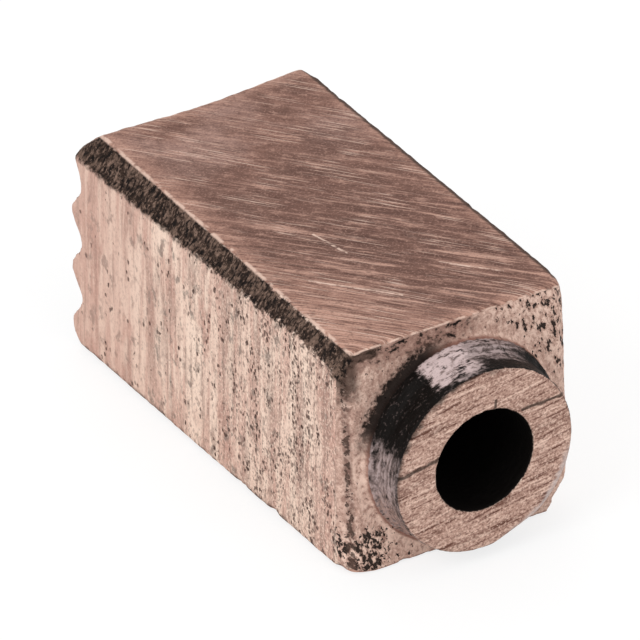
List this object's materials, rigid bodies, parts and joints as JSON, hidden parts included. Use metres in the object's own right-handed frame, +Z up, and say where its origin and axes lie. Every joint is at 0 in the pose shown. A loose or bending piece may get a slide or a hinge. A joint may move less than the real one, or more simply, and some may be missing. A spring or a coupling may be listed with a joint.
{
  "type": "carbon brush",
  "caption": "Rectangular copper-graphite motor brush with a round drilled spigot at one end and a contact face worn hollow and grooved by a commutator.",
  "frame": {"origin": "on the flat long side that the brush lies on, under the middle of its overall length and width", "axes": "-Y out of the spigot and the lead hole, +Y out of the contact face, +Z up from the side that the brush lies on, with the long edge flat at -X and +Z"},
  "size_m": [0.0066, 0.0138, 0.006],
  "materials": {
    "copper_graphite": "pressed and ground copper-graphite, matt, scratched and pitted"
  },
  "bodies": {
    "root": {"brush": "copper_graphite"}
  },
  "joints": []
}
